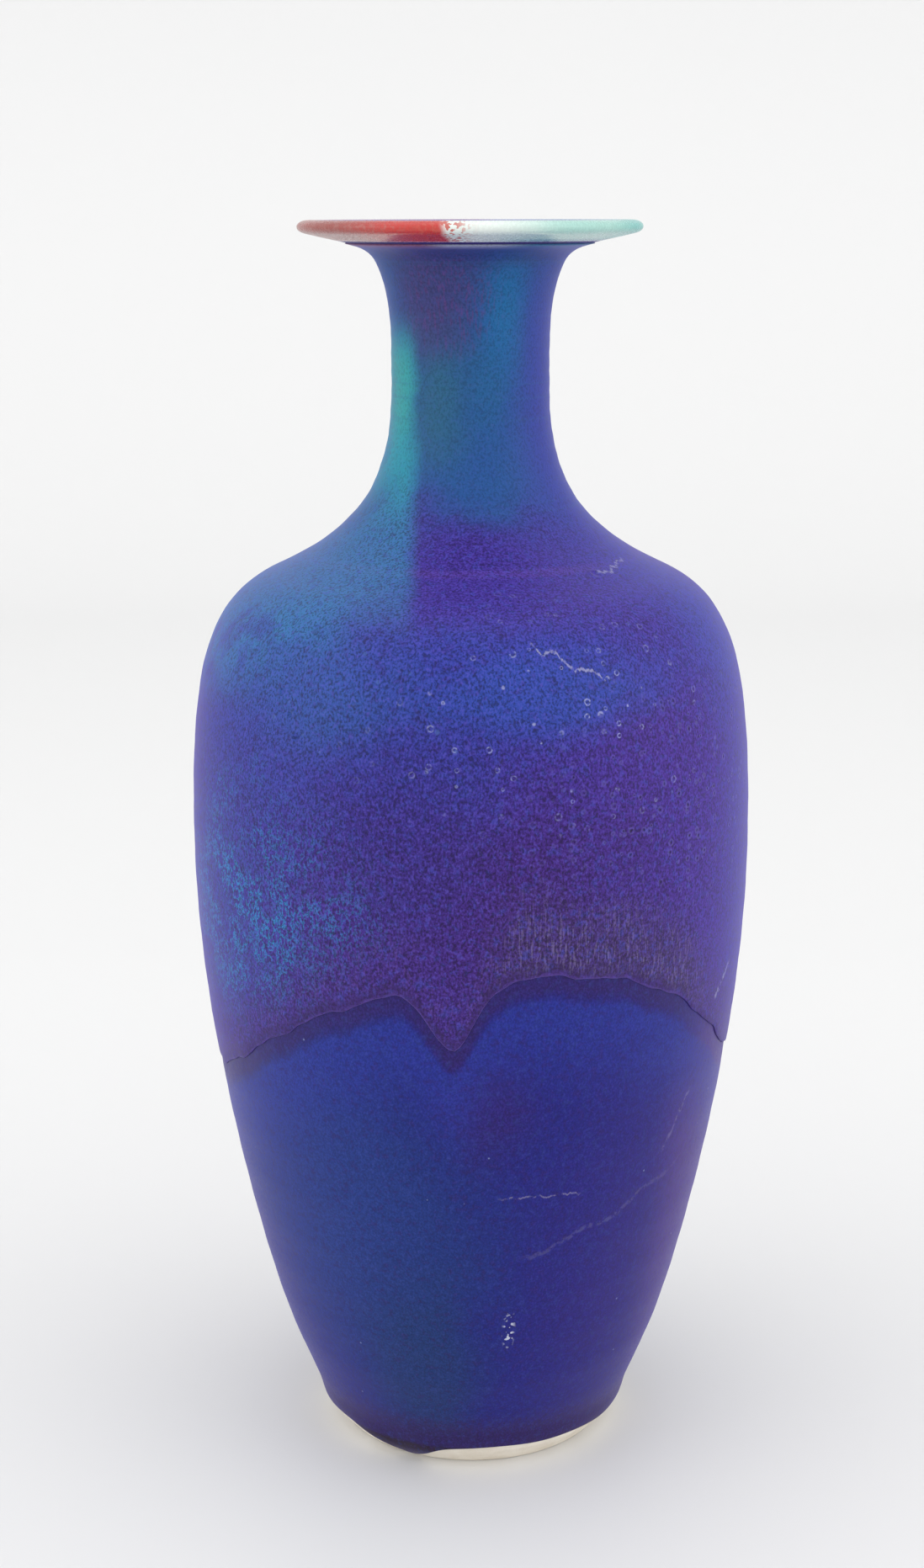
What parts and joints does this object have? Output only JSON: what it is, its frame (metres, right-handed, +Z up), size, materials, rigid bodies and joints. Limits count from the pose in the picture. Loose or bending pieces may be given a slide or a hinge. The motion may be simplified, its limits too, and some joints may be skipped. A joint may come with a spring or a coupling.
{
  "type": "bottle vase",
  "caption": "Wheel-thrown stoneware bottle vase with a narrow neck, a wide flanged lip and two overlapping blue and violet glazes.",
  "frame": {"origin": "on the pot's axis, at the level that the foot ring stands on", "axes": "+Z up along the pot's axis; the front of the pot faces -Y; +X is to the right of the front"},
  "size_m": [0.1454, 0.1454, 0.32],
  "materials": {
    "stoneware": "bisque stoneware, matt",
    "bare_stoneware": "unglazed stoneware, matt",
    "joining_slip": "fired slip, matt",
    "blue_glaze": "satin matt, mottled royal and teal blue",
    "violet_glaze": "satin matt, mottled violet and turquoise",
    "lip_glaze": "glossy white and pale green, with copper red",
    "liner_glaze": "satin violet blue"
  },
  "bodies": {
    "root": {"body_wall": "stoneware", "neck_section": "stoneware", "foot_ring": "bare_stoneware", "shoulder_slip_joint": "joining_slip", "foot_slip_joint": "joining_slip", "base_glaze": "blue_glaze", "top_glaze": "violet_glaze", "rim_glaze": "lip_glaze", "liner_glaze": "liner_glaze"}
  },
  "joints": []
}
